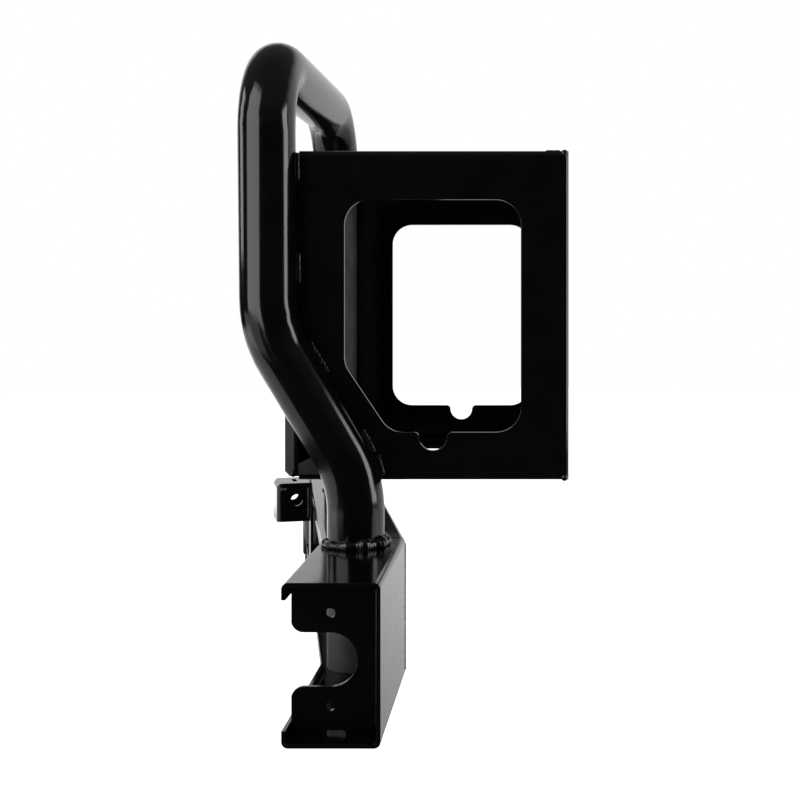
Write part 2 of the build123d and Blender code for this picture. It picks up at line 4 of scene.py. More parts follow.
import bmesh
import bpy
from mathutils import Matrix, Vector


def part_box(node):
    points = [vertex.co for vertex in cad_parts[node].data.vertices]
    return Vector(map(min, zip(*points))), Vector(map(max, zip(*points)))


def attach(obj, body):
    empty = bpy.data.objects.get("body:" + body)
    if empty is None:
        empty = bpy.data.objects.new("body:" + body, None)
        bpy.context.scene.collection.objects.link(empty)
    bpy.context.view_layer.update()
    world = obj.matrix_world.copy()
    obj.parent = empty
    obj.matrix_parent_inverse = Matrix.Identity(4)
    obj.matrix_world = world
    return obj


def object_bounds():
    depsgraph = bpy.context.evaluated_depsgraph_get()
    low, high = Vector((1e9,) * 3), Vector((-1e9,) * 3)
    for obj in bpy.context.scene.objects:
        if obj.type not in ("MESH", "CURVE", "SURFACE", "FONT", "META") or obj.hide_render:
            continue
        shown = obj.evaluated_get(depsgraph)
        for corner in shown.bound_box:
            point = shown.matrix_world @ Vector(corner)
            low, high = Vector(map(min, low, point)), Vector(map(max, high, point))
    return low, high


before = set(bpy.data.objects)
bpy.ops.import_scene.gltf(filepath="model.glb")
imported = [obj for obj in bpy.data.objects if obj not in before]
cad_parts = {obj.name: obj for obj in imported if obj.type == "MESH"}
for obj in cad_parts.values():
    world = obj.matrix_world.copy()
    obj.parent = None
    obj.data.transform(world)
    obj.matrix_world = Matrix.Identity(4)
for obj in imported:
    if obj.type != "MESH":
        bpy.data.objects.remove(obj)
cad_low, cad_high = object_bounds()

MM = 0.001
SHEET = 4 * MM                  # thickness of the folded sheets
EDGE_ROUND = 0.45 * MM          # how far the coat rounds a cut edge
EDGE_ANGLE = math.radians(32)   # sharper than this counts as an edge
FLAT_ANGLE = math.radians(0.4)  # faces that differ by less are one face


# ------------------------------------------------------------------ materials
def new_material(name, base, roughness, metallic=0.0):
    """Material whose Principled shader holds the values that are the same all over."""
    material = bpy.data.materials.new("look_" + name)
    material.use_nodes = True
    shader = material.node_tree.nodes["Principled BSDF"]
    shader.inputs["Base Color"].default_value = (*base, 1)
    shader.inputs["Roughness"].default_value = roughness
    shader.inputs["Metallic"].default_value = metallic
    return material, material.node_tree, shader


def add_node(tree, kind, **values):
    """Node with its input sockets set by name."""
    node = tree.nodes.new(kind)
    for socket, value in values.items():
        node.inputs[socket].default_value = value
    return node


def noise(tree, scale, detail=2.0, rough=0.5, stretch=(1, 1, 1)):
    """Noise in the row frame, in cycles per metre; stretch squeezes it along an axis."""
    place = tree.nodes.new("ShaderNodeTexCoord")
    mapping = add_node(tree, "ShaderNodeMapping", Scale=stretch)
    texture = add_node(tree, "ShaderNodeTexNoise", Scale=scale, Detail=detail, Roughness=rough)
    tree.links.new(place.outputs["Object"], mapping.inputs["Vector"])
    tree.links.new(mapping.outputs["Vector"], texture.inputs["Vector"])
    return texture.outputs["Fac"]


def spread(tree, value, low, high, from_low=0.3, from_high=0.7):
    """Value remapped to a range, clamped."""
    node = add_node(tree, "ShaderNodeMapRange")
    node.inputs["From Min"].default_value = from_low
    node.inputs["From Max"].default_value = from_high
    node.inputs["To Min"].default_value = low
    node.inputs["To Max"].default_value = high
    tree.links.new(value, node.inputs["Value"])
    return node.outputs["Result"]


def tint(tree, value, dark, light):
    """Colour between two, by a value from 0 to 1."""
    node = tree.nodes.new("ShaderNodeMix")
    node.data_type = "RGBA"
    node.inputs["A"].default_value = (*dark, 1)
    node.inputs["B"].default_value = (*light, 1)
    tree.links.new(value, node.inputs["Factor"])
    return node.outputs["Result"]


def blend(tree, kind, factor, first, second):
    """First where the factor is 0, second where it is 1; kind is RGBA or FLOAT."""
    node = tree.nodes.new("ShaderNodeMix")
    node.data_type = kind
    sockets = [i for i in node.inputs if i.enabled and i.name in ("A", "B")]
    tree.links.new(factor, node.inputs["Factor"])
    tree.links.new(first, sockets[0])
    tree.links.new(second, sockets[1])
    return next(o for o in node.outputs if o.enabled)


def bump(tree, shader, layers):
    """Stacks bump layers, each (height, depth in metres), into the shader's normal."""
    normal = None
    for height, depth in layers:
        node = add_node(tree, "ShaderNodeBump", Strength=1.0, Distance=depth)
        tree.links.new(height, node.inputs["Height"])
        if normal is not None:
            tree.links.new(normal, node.inputs["Normal"])
        normal = node.outputs["Normal"]
    tree.links.new(normal, shader.inputs["Normal"])


COAT_COLOURS = (0.0013, 0.0013, 0.0014), (0.0022, 0.0022, 0.0023)   # darkest and lightest
COAT_ROUGHNESS = 0.1, 0.145
THIN_COAT_AND_PAINTED_LIGHT_TONES = (0.8, 0.78, 0.75), (1.2, 1.17, 1.13)                   # greys of a thin coat, also used as painted bounce light: darkest and lightest, per unit of shade
DULL_ROUGHNESS = 0.38, 0.5
SHEET_WAVES = 14, 0.12 * MM             # waves per metre, and their height
ORANGE_PEEL = 420, 0.006 * MM


def powder_coat(name, dull=(), matt_beyond=None):
    """Black powder coat: orange peel over slightly uneven sheet.

    Each entry of dull is (axis, glossy side, dull side, shade): between the two places along that axis
    the coat turns grey and dull. Inside the beam the grey stands for a thin coat; on the gusset it is
    painted bounce light. Beyond the X of matt_beyond the coat has no gloss.
    """
    material, tree, shader = new_material(name, (0.002, 0.002, 0.002), 0.12)
    shade = spread(tree, noise(tree, 35, 3), 0.0, 1.0)
    colour = tint(tree, shade, *COAT_COLOURS)
    rough = spread(tree, noise(tree, 60, 4), *COAT_ROUGHNESS)
    place = tree.nodes.new("ShaderNodeTexCoord")
    axes = tree.nodes.new("ShaderNodeSeparateXYZ")
    tree.links.new(place.outputs["Object"], axes.inputs["Vector"])
    for axis, glossy_side, dull_side, grey in dull:
        # grey and dull between the two places: a thin coat inside the beam, painted bounce light on the
        # gusset
        thin_coat_and_painted_light_mask = spread(tree, axes.outputs[axis], 0.0, 1.0, glossy_side, dull_side)
        thin_coat_and_painted_light_colour = tint(tree, shade, *[[grey * part for part in tone] for tone in THIN_COAT_AND_PAINTED_LIGHT_TONES])
        rubbed = spread(tree, noise(tree, 90, 4), *DULL_ROUGHNESS)
        colour = blend(tree, "RGBA", thin_coat_and_painted_light_mask, colour, thin_coat_and_painted_light_colour)
        rough = blend(tree, "FLOAT", thin_coat_and_painted_light_mask, rough, rubbed)
    if matt_beyond:
        gloss = spread(tree, axes.outputs["X"], 0.5, 0.0, matt_beyond - 1 * MM, matt_beyond)
        tree.links.new(gloss, shader.inputs["Specular IOR Level"])
    tree.links.new(colour, shader.inputs["Base Color"])
    tree.links.new(rough, shader.inputs["Roughness"])
    bump(tree, shader, [
        (noise(tree, SHEET_WAVES[0], 1), SHEET_WAVES[1]),
        (noise(tree, ORANGE_PEEL[0], 2), ORANGE_PEEL[1]),
    ])
    return material


def weld_coat():
    """The same coat over a weld: glossier, with fine ripples left by the bead."""
    material, tree, shader = new_material("weld_coat", (0.002, 0.002, 0.002), 0.12)
    shade = spread(tree, noise(tree, 160, 3), 0.0, 1.0)
    colour = tint(tree, shade, (0.0015, 0.0015, 0.0016), (0.0045, 0.0045, 0.0045))
    tree.links.new(colour, shader.inputs["Base Color"])
    tree.links.new(spread(tree, noise(tree, 220, 3), 0.07, 0.16), shader.inputs["Roughness"])
    bump(tree, shader, [(noise(tree, 330, 3), 0.25 * MM), (noise(tree, 900, 2), 0.03 * MM)])
    return material


def cap_paint():
    """Gloss black paint on the pressed cap."""
    material, tree, shader = new_material("cap_paint", (0.006, 0.006, 0.006), 0.16)
    shade = spread(tree, noise(tree, 50, 3), 0.0, 1.0)
    colour = tint(tree, shade, (0.005, 0.005, 0.005), (0.008, 0.008, 0.008))
    tree.links.new(colour, shader.inputs["Base Color"])
    tree.links.new(spread(tree, noise(tree, 90, 3), 0.13, 0.22), shader.inputs["Roughness"])
    bump(tree, shader, [(noise(tree, 350, 2), 0.006 * MM)])
    return material


def turned_steel(name, dark, light, rough_low, rough_high):
    """Metal turned about the pivot axis: fine rings that run round the axis."""
    material, tree, shader = new_material(name, light, rough_high, 1.0)
    rings = noise(tree, 900, 3, 0.6, stretch=(0.02, 0.02, 1))
    tree.links.new(tint(tree, rings, dark, light), shader.inputs["Base Color"])
    tree.links.new(spread(tree, noise(tree, 160, 3), rough_low, rough_high), shader.inputs["Roughness"])
    bump(tree, shader, [(rings, 0.006 * MM)])
    return material


def black_oxide():
    """Black-oxide steel with a trace of oil and turning marks."""
    return turned_steel("black_oxide", (0.018, 0.018, 0.02), (0.045, 0.044, 0.046), 0.28, 0.42)


def bearing_steel():
    """Ground bearing steel."""
    return turned_steel("bearing_steel", (0.5, 0.5, 0.5), (0.62, 0.62, 0.61), 0.12, 0.2)


def zinc_plate():
    """Bright zinc with a faint mottled bloom."""
    material, tree, shader = new_material("zinc_plate", (0.62, 0.63, 0.64), 0.3, 1.0)
    bloom = spread(tree, noise(tree, 240, 4), 0.0, 1.0)
    colour = tint(tree, bloom, (0.5, 0.52, 0.54), (0.7, 0.7, 0.69))
    tree.links.new(colour, shader.inputs["Base Color"])
    tree.links.new(spread(tree, noise(tree, 500, 3), 0.22, 0.38), shader.inputs["Roughness"])
    bump(tree, shader, [(noise(tree, 700, 3), 0.008 * MM)])
    return material


def seal_rubber():
    """Nitrile rubber, dull with a dusty bloom."""
    material, tree, shader = new_material("seal_rubber", (0.012, 0.012, 0.012), 0.6)
    bloom = spread(tree, noise(tree, 180, 4), 0.0, 1.0)
    colour = tint(tree, bloom, (0.009, 0.009, 0.009), (0.02, 0.019, 0.018))
    tree.links.new(colour, shader.inputs["Base Color"])
    tree.links.new(spread(tree, noise(tree, 300, 3), 0.5, 0.72), shader.inputs["Roughness"])
    bump(tree, shader, [(noise(tree, 900, 3), 0.02 * MM)])
    return material


MATERIALS = {
    "powder_coat": powder_coat("powder_coat"),
    "cap_paint": cap_paint(),
    "black_oxide": black_oxide(),
    "bearing_steel": bearing_steel(),
    "zinc_plate": zinc_plate(),
    "seal_rubber": seal_rubber(),
    "weld_coat": weld_coat(),
}


# ------------------------------------------------------------------ CAD nodes
def smooth_by_angle():
    """Node group that joins split corners, drops packed normals and marks edges sharp by angle."""
    group = bpy.data.node_groups.new("smooth_by_angle", "GeometryNodeTree")
    group.interface.new_socket("Geometry", in_out="INPUT", socket_type="NodeSocketGeometry")
    group.interface.new_socket("Geometry", in_out="OUTPUT", socket_type="NodeSocketGeometry")
    group.interface.new_socket("Distance", in_out="INPUT", socket_type="NodeSocketFloat")
    start = group.nodes.new("NodeGroupInput")
    end = group.nodes.new("NodeGroupOutput")
    merge = group.nodes.new("GeometryNodeMergeByDistance")
    drop = group.nodes.new("GeometryNodeRemoveAttribute")
    drop.inputs["Name"].default_value = "custom_normal"
    faces = group.nodes.new("GeometryNodeSetShadeSmooth")
    edges = group.nodes.new("GeometryNodeSetShadeSmooth")
    edges.domain = "EDGE"
    edges.inputs["Shade Smooth"].default_value = False
    angle = group.nodes.new("GeometryNodeInputMeshEdgeAngle")
    sharp = group.nodes.new("FunctionNodeCompare")
    sharp.operation = "GREATER_THAN"
    sharp.inputs["B"].default_value = EDGE_ANGLE
    join = group.links.new
    join(start.outputs["Geometry"], merge.inputs["Geometry"])
    join(start.outputs["Distance"], merge.inputs["Distance"])
    join(merge.outputs["Geometry"], drop.inputs["Geometry"])
    join(drop.outputs["Geometry"], faces.inputs["Geometry"])
    join(faces.outputs["Geometry"], edges.inputs["Geometry"])
    join(angle.outputs["Unsigned Angle"], sharp.inputs["A"])
    join(sharp.outputs["Result"], edges.inputs["Selection"])
    join(edges.outputs["Geometry"], end.inputs["Geometry"])
    return group


SMOOTH_GROUP = smooth_by_angle()


def finish_edges(obj, width):
    """Rounds a CAD node's cut edges by modifiers, which leave its mesh as packed; 0 only smooths."""
    smooth = obj.modifiers.new("smooth", "NODES")
    smooth.node_group = SMOOTH_GROUP
    distance = next(i for i in SMOOTH_GROUP.interface.items_tree if i.name == "Distance")
    smooth[distance.identifier] = 0.6 * width if width else 1e-6
    if width:
        flat = obj.modifiers.new("flat_faces", "DECIMATE")
        flat.decimate_type = "DISSOLVE"
        flat.angle_limit = FLAT_ANGLE
        rounding = obj.modifiers.new("rounding", "BEVEL")
        rounding.width = width
        rounding.segments = 2
        rounding.limit_method = "ANGLE"
        rounding.angle_limit = EDGE_ANGLE
        rounding.use_clamp_overlap = False
        rounding.harden_normals = True
    weighted = obj.modifiers.new("normals", "WEIGHTED_NORMAL")
    weighted.keep_sharp = True


# Nodes whose edges are rounded by less than EDGE_ROUND, or not at all.
EDGE_WIDTHS = {
    "hoop_tube": 0.0,
    "split_pin": 0.0,
    "lower_bearing_rollers": 0.2 * MM,
    "upper_bearing_rollers": 0.2 * MM,
    "grease_seal": 0.2 * MM,
    "grease_nipple": 0.15 * MM,
    "castle_nut": 0.2 * MM,
}

BEAM_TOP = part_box("beam_latch_section")[1].z
FAR_PAN_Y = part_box("far_side_plate")[0].y
FLANGE_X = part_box("front_panel")[1].x
INSIDE_BEAM = ("Z", BEAM_TOP, BEAM_TOP - 2 * MM, 0.028)
PANEL_FAR_END = ("Y", FAR_PAN_Y - 150 * MM, FAR_PAN_Y - 40 * MM, 0.09)
PANEL_SHEET = ("X", FLANGE_X - 1.1 * SHEET, FLANGE_X - 1.3 * SHEET, 0.022)
GUSSET_PAINTED_BOUNCE_LIGHT = ("Z", 2.0, 1.0, 0.008)       # painted bounce light: the whole gusset a lighter grey, as if lit by the leg and floor; both places are above the part
OWN_COATS = {
    "hoop_tube": powder_coat("tube_coat", [INSIDE_BEAM]),
    "front_panel": powder_coat("panel_coat", [PANEL_FAR_END, PANEL_SHEET], FLANGE_X - 0.3 * MM),
    # the gusset's coat carries painted bounce light over all of it
    "near_filler_gusset": powder_coat("gusset_coat_painted_light", [GUSSET_PAINTED_BOUNCE_LIGHT]),
}

for name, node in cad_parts.items():
    slot_name = node.data.materials[0].name
    node.material_slots[0].material = OWN_COATS.get(name, MATERIALS[slot_name])
    finish_edges(node, EDGE_WIDTHS.get(name, EDGE_ROUND))


# ------------------------------------------------------------------ welds
# sizes of the carrier that its nodes' boxes don't give
TUBE_R = 30.15 * MM
LEG_BEND_R = 127 * MM
SHOULDER = Vector((73.0 * MM, 401.7 * MM))      # leg centreline in X and Z at the upper bend
HOOP_TOP = Vector((69.8 * MM, 692.0 * MM))      # and at the crossing tube
KNEE_Z = 247.8 * MM                             # its height at the lower bend
FAR_FOOT_X = 84.0 * MM
PIVOT_YAW = math.radians(12)                    # lean of the long section towards the vehicle
LATCH_YAW = math.radians(1.35)
BRACKET_YAW = math.radians(16.5)
PIVOT_LENGTH = 784.0 * MM                       # fold to pivot axis
HUB_R = 46.0 * MM
HUB_GAP = 0.05 * MM                             # hub to web
BEAM_DEPTH = 90.6 * MM
BRACKET_START = 493.5 * MM                      # along the long section, from the fold
BRACKET_LENGTH = 70.0 * MM
REAR_FLANGE = 30.0 * MM                         # of each side plate

# how beads are made
STEP = 0.6 * MM                                 # between two rings of a bead
AROUND = 14                                     # corners of a ring
SWAY = 0.03                                     # how far a ring strays, as a share of its size
NECK = 1.2                                      # how far a bead thins between lumps, per unevenness
STANDOFF = 1.2 * MM                             # bead's centre, out from the joint that it fills
FINE = 2.6 * MM                                 # radii of the usual beads
PLAIN = 3.0 * MM
ROUGH_PITCH = 6 * MM                            # between the lumps of a hand-run bead
LEG_STITCHES = ((562, 593), (451, 487), (357, 391), (272, 298))     # heights in mm
LEG_CORNER = (248, 272)
PANEL_STITCHES = ((430, 470), (540, 580))
PLATE_STITCHES = ((270, 310), (400, 440), (530, 570))

BEAM_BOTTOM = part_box("beam_latch_section")[0].z
HOOP_LOW, HOOP_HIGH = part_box("hoop_tube")
NEAR_LEG_Y = HOOP_LOW.y + TUBE_R
FAR_LEG_Y = HOOP_HIGH.y - TUBE_R
NEAR_FOOT_X = HOOP_HIGH.x - TUBE_R


def along(yaw):
    """Level direction along a beam section, latch end to pivot."""
    return Vector((-math.sin(yaw), math.cos(yaw), 0))


def outward(yaw):
    """Level direction from its web to its lips."""
    return Vector((-math.cos(yaw), -math.sin(yaw), 0))


FOLD = along(PIVOT_YAW) * -PIVOT_LENGTH - outward(PIVOT_YAW) * (HUB_R + SHEET + HUB_GAP)
BRACKET_FOOT = FOLD + along(PIVOT_YAW) * BRACKET_START + outward(PIVOT_YAW) * BEAM_DEPTH


def line(start, end):
    """Straight run of points between two places."""
    start, end = Vector(start), Vector(end)
    count = max(2, round((end - start).length / STEP))
    return [start.lerp(end, i / count) for i in range(count + 1)]


def upright(x, y, low, high):
    """Upright run of points between two heights."""
    return line((x, y, low), (x, y, high))


def arc(centre, radius, height, start, end):
    """Level run of points round an upright axis, between two angles in degrees from +X."""
    first, last = math.radians(start), math.radians(end)
    count = max(3, round(abs(last - first) * radius / STEP))
    angles = [first + (last - first) * i / count for i in range(count + 1)]
    x, y = centre
    return [Vector((x + radius * math.cos(t), y + radius * math.sin(t), height)) for t in angles]


def corner_bend(before, corner, after, radius):
    """Points of a bend of that radius in place of a corner."""
    into, out = (before - corner).normalized(), (after - corner).normalized()
    half = into.angle(out) / 2
    centre = corner + (into + out).normalized() * (radius / math.sin(half))
    start = corner + into * (radius / math.tan(half)) - centre
    turn = math.pi - 2 * half
    if start.x * (corner - centre).y - start.y * (corner - centre).x <= 0:
        turn = -turn
    count = round(radius * abs(turn) / STEP)
    square = Vector((-start.y, start.x))
    spins = [turn * i / count for i in range(count + 1)]
    return [centre + start * math.cos(t) + square * math.sin(t) for t in spins]


def leg_line(foot_x):
    """Leg centreline from the foot up."""
    foot, knee = Vector((foot_x, BEAM_BOTTOM)), Vector((foot_x, KNEE_Z))
    lower = corner_bend(foot, knee, SHOULDER, LEG_BEND_R)
    upper = corner_bend(knee, SHOULDER, HOOP_TOP, LEG_BEND_R)
    corners = [foot, *lower, *upper, HOOP_TOP]
    return [p for a, b in zip(corners, corners[1:]) for p in line((a.x, 0, a.y), (b.x, 0, b.y))[:-1]]


def leg_stitch(foot_x, y, offset, heights):
    """Run beside a leg, offset to its +X side, between two heights in mm."""
    points = leg_line(foot_x)
    run = []
    for before, after in zip(points, points[1:]):
        rise = (after - before).normalized()
        spot = before + Vector((rise.z, 0, -rise.x)) * offset
        if heights[0] * MM <= spot.z <= heights[1] * MM:
            run.append(Vector((spot.x, y, spot.z)))
    return run


def add_bead(mesh, points, radius, rng, pitch=None, uneven=0.1):
    """Sweeps a lumpy round bead along a run; radius is a number or one for each point."""
    radii = radius if isinstance(radius, list) else [radius] * len(points)
    closed = (points[0] - points[-1]).length < STEP / 2
    pitch = pitch or 0.55 * max(radii)
    lengths = [0.0]
    for a, b in zip(points, points[1:]):
        lengths.append(lengths[-1] + (b - a).length)
    lumps = [rng.uniform(1 - uneven, 1 + uneven) for _ in range(int(lengths[-1] / pitch) + 2)]
    neck = 1 - NECK * uneven
    turns = [math.tau * k / AROUND for k in range(AROUND)]
    side = None
    rings = []
    for index, point in enumerate(points):
        before, after = points[max(index - 1, 0)], points[min(index + 1, len(points) - 1)]
        forward = (after - before).normalized()
        if side is None:
            side = forward.orthogonal()
        side = (side - forward * forward.dot(side)).normalized()
        other = forward.cross(side)
        lump, phase = divmod(lengths[index] / pitch, 1)
        crest = 0.5 - 0.5 * math.cos(math.tau * phase)
        size = radii[index] * (neck + crest * (lumps[int(lump)] - neck))
        to_end = min(lengths[index], lengths[-1] - lengths[index]) / radii[index]
        if not closed and to_end < 1:
            size *= max(math.sqrt(1 - (1 - to_end) ** 2), 0.05)
        middle = point + side * rng.uniform(-SWAY, SWAY) * size + other * rng.uniform(-SWAY, SWAY) * size
        rings.append([
            mesh.verts.new(middle + (side * math.cos(t) + other * math.sin(t)) * size) for t in turns
        ])
    for a, b in zip(rings, rings[1:]):
        for k in range(AROUND):
            mesh.faces.new((a[k], a[k - 1], b[k - 1], b[k]))
    if not closed:
        mesh.faces.new(rings[0])
        mesh.faces.new(rings[-1][::-1])


def weld(name, runs):
    """One piece of the carrier made of beads, each (points, radius) and maybe pitch and unevenness."""
    mesh = bmesh.new()
    rng = random.Random(name)
    for points, radius, *lumpiness in runs:
        add_bead(mesh, points, radius, rng, *lumpiness)
    data = bpy.data.meshes.new(name)
    mesh.to_mesh(data)
    mesh.free()
    data.polygons.foreach_set("use_smooth", [True] * len(data.polygons))
    data.materials.append(MATERIALS["weld_coat"])
    piece = bpy.data.objects.new(name, data)
    bpy.context.scene.collection.objects.link(piece)
    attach(piece, "carrier")


def foot_ring(x, y, radius, wedge):
    """Bead round a leg's foot, growing by the wedge from its -X side to its +X side."""
    points = arc((x, y), TUBE_R + 0.1 * radius, BEAM_TOP, 100, 460)
    radii = [radius + wedge * (0.5 + 0.5 * (p.x - x) / TUBE_R) for p in points]
    points = [p + Vector((0, 0, 0.5 * size)) for p, size in zip(points, radii)]
    return points, radii, 19 * MM, 0.22


def beside_tube(distance):
    """How far from a tube's centreline a bead lies, against a face at that distance from it."""
    return math.sqrt(TUBE_R ** 2 - (distance - 1.5 * MM) ** 2) + 1.5 * MM


def leg_welds(near_y, far_y):
    """Stitches between each leg and its side plate, and the fat corner bead of the near one."""
    beside = beside_tube(near_y - NEAR_LEG_Y)
    near, far = [], []
    for heights in LEG_STITCHES:
        near_run = leg_stitch(NEAR_FOOT_X, near_y - STANDOFF, beside, heights)
        near.append((near_run, 3.6 * MM, 5 * MM, 0.14))
        far.append((leg_stitch(FAR_FOOT_X, far_y + STANDOFF, beside, heights), PLAIN))
    corner = leg_stitch(NEAR_FOOT_X, near_y - 1.6 * MM, beside + 1.5 * MM, LEG_CORNER)
    near.append((corner, 5.2 * MM, ROUGH_PITCH, 0.26))
    weld("weld_near_leg", near)
    weld("weld_far_leg", far)


def panel_welds(near_y, far_y):
    """Stitches between the front panel and the legs, and along the box's top and bottom."""
    low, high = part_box("front_panel")
    face_x = high.x - SHEET
    beside = beside_tube(face_x - SHOULDER.x)
    runs = []
    for y in (NEAR_LEG_Y + beside, FAR_LEG_Y - beside):
        for start, end in PANEL_STITCHES:
            runs.append((upright(face_x - STANDOFF, y, start * MM, end * MM), PLAIN))
    edge_x = high.x - 1 * MM
    for z in (low.z, high.z):
        for y in (near_y + 30 * MM, near_y + 65 * MM, far_y - 30 * MM, far_y - 65 * MM):
            runs.append((line((edge_x, y - 10 * MM, z), (edge_x, y + 10 * MM, z)), FINE))
    tip = Vector((low.x + 6 * MM, near_y + 1 * MM, low.z + 3 * MM))
    runs.append((line(tip, tip + Vector((6 * MM, -1 * MM, -1 * MM))), 3.4 * MM))
    weld("weld_front_panel", runs)


def corner_welds(near_y, far_y):
    """Dabs at the box's rear corners and stitches that hold the wheel-mount plate."""
    low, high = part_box("near_side_plate")
    runs = []
    for face_y, inward in ((near_y, 1), (far_y, -1)):
        for z, rise in ((low.z, 1), (high.z, -1)):
            dab = Vector((high.x - 4.4 * MM, face_y - inward * 2.2 * MM, z + rise * 2.6 * MM))
            runs.append((line(dab, dab + Vector((0, inward * 9 * MM, 0))), 3.8 * MM, 9 * MM, 0.05))
            edge = Vector((high.x - 2.9 * MM, face_y + inward * 7 * MM, z + rise * 2.4 * MM))
            runs.append((line(edge, edge + Vector((0, inward * (REAR_FLANGE - 8 * MM), 0))), FINE))
    seam_y, seam_z = near_y + 6 * MM, high.z - STANDOFF
    seam = line((high.x - 25 * MM, seam_y, seam_z), (high.x - 8 * MM, seam_y, seam_z))
    runs.append((seam, 2.4 * MM))
    plate_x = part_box("wheel_mount_plate")[0].x - 0.6 * MM
    for y in (near_y + REAR_FLANGE, far_y - REAR_FLANGE):
        for start, end in PLATE_STITCHES:
            runs.append((upright(plate_x, y, start * MM, end * MM), PLAIN))
    weld("weld_box_corners", runs)


def foot_welds():
    """Beads round the legs where they pass through the beam's top."""
    weld("weld_near_foot", [foot_ring(NEAR_FOOT_X, NEAR_LEG_Y, 5.6 * MM, 2.6 * MM)])
    weld("weld_far_foot", [foot_ring(FAR_FOOT_X, FAR_LEG_Y, 2.6 * MM, 2.4 * MM)])


def fold_weld():
    """Bead round the mitre between the two beam sections."""
    across = outward((PIVOT_YAW + LATCH_YAW) / 2)
    web = FOLD + across * 1.7 * MM
    runs = []
    for z in (BEAM_TOP - 1.7 * MM, BEAM_BOTTOM + 1.7 * MM):
        level = FOLD + Vector((0, 0, z))
        runs.append((line(level + across * 6 * MM, level + across * (BEAM_DEPTH - 3 * MM)), FINE))
    runs.append((upright(web.x, web.y, BEAM_BOTTOM + 5 * MM, BEAM_TOP - 5 * MM), FINE))
    weld("weld_fold_seam", runs)


def latch_weld():
    """Bead down the latch plate's inner edge and a dab on its top."""
    low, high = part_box("latch_end_plate")
    middle, dab_y, dab_z = (high.x + low.x) / 2, low.y - 1.6 * MM, high.z - 1.4 * MM
    dab = line((middle, dab_y, dab_z), (middle + 9 * MM, dab_y, dab_z))
    weld("weld_latch_plate", [
        (upright(high.x - STANDOFF, low.y - 0.6 * MM, low.z + 6 * MM, high.z - 6 * MM), 3.3 * MM),
        (dab, 2.4 * MM, 3.5 * MM, 0.2),
    ])


def bracket_weld():
    """Beads round the strut bracket's root and on its near ear's top corner."""
    lengthwise, out = along(BRACKET_YAW), outward(BRACKET_YAW)
    runs = []
    for distance in (-STANDOFF, BRACKET_LENGTH + STANDOFF):
        foot = BRACKET_FOOT + lengthwise * distance + out * 2.0 * MM
        runs.append((upright(foot.x, foot.y, BEAM_TOP - 52 * MM, BEAM_TOP - 6 * MM), 3.2 * MM))
    crest = BRACKET_FOOT + Vector((0, 0, BEAM_TOP - 3.0 * MM))
    runs.append((line(crest + lengthwise * 3 * MM, crest + lengthwise * (BRACKET_LENGTH - 3 * MM)), PLAIN))
    whole_reach = (BRACKET_FOOT.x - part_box("strut_bracket")[0].x) * math.cos(BRACKET_YAW)
    ear_reach = 0.72 * whole_reach
    corner = BRACKET_FOOT + Vector((0, 0, BEAM_TOP - 9 * MM)) - lengthwise * 0.6 * MM
    ear = line(corner + out * (ear_reach - 12 * MM), corner + out * ear_reach)
    runs.append((ear, 4.0 * MM, ROUGH_PITCH, 0.15))
    weld("weld_strut_bracket", runs)


def hub_weld():
    """Beads that hold the pivot hub between the beam's flanges and against its web."""
    toward_beam = math.degrees(PIVOT_YAW) - 90
    runs = []
    for z in (BEAM_TOP - 1.4 * MM, BEAM_BOTTOM + 1.4 * MM):
        runs.append((arc((0, 0), HUB_R, z, toward_beam - 72, toward_beam + 78), FINE))
    tail = along(PIVOT_YAW) * 15 * MM - outward(PIVOT_YAW) * (HUB_R - 0.5 * MM)
    runs.append((upright(tail.x, tail.y, BEAM_BOTTOM + 4 * MM, BEAM_TOP - 4 * MM), 3.2 * MM))
    weld("weld_hub", runs)


BOX_NEAR_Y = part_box("near_side_plate")[0].y
BOX_FAR_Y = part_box("far_side_plate")[1].y
leg_welds(BOX_NEAR_Y, BOX_FAR_Y)
panel_welds(BOX_NEAR_Y, BOX_FAR_Y)
corner_welds(BOX_NEAR_Y, BOX_FAR_Y)
foot_welds()
fold_weld()
latch_weld()
bracket_weld()
hub_weld()


# ------------------------------------------------------------------ studio
WHITE = (1, 1, 1)
LILAC = (0.97, 0.97, 1.0)
BLACK = (0.002, 0.002, 0.002)
FLOOR_R = 6.0
FLOOR_GREY = (0.9, 0.9, 0.9)
FLOOR_GLOW = 1.1                # keeps the floor as pale as the world round it
WALL_MIDDLE = (0.284, 0.959, 0)  # level direction of the white wall's middle
WALL_LIGHT = 0.95
WALL_EDGE = (0.42, 0.62)        # the wall fades out between these cosines from its middle
WALL_TOP = (0.62, 0.42)         # and between these sines of elevation
FLOOR_SHARE = 0.6               # light low down, as a share of the wall's
FLOOR_EDGE = (-0.29, -0.18)
CEILING_LIGHT = (0.01, 0.14)    # from eye height to overhead
CEILING_EDGE = (0.2, 0.7)

# Lights round the near leg: azimuth, distance, height, then the panel's width, height, radiance, colour.
LEG_LIGHTS = {
    "left_light": (-46.7, 1.3, 1.24, 1.3, 1.84, 2.9, LILAC),
    "left_top": (-46.7, 1.3, 2.36, 1.3, 0.4, 1.3, LILAC),
    "left_low": (-72, 1.3, 0.14, 1.6, 0.34, 0.7, WHITE),
    "left_strip": (-107, 2.0, 1.12, 0.7, 1.15, 2.3, LILAC),
    "right_light": (91.5, 2.13, 0.86, 0.8, 1.5, 4.5, WHITE),
}
# Lights that lie on the floor and shine up: X, Y, then the same.
FLOOR_LIGHTS = {
    "left_floor": (-1.5, 0.1, 2.1, 2.8, 0.9, WHITE),
    "right_floor": (1.6, -0.75, 2.0, 0.8, 1.0, WHITE),
}


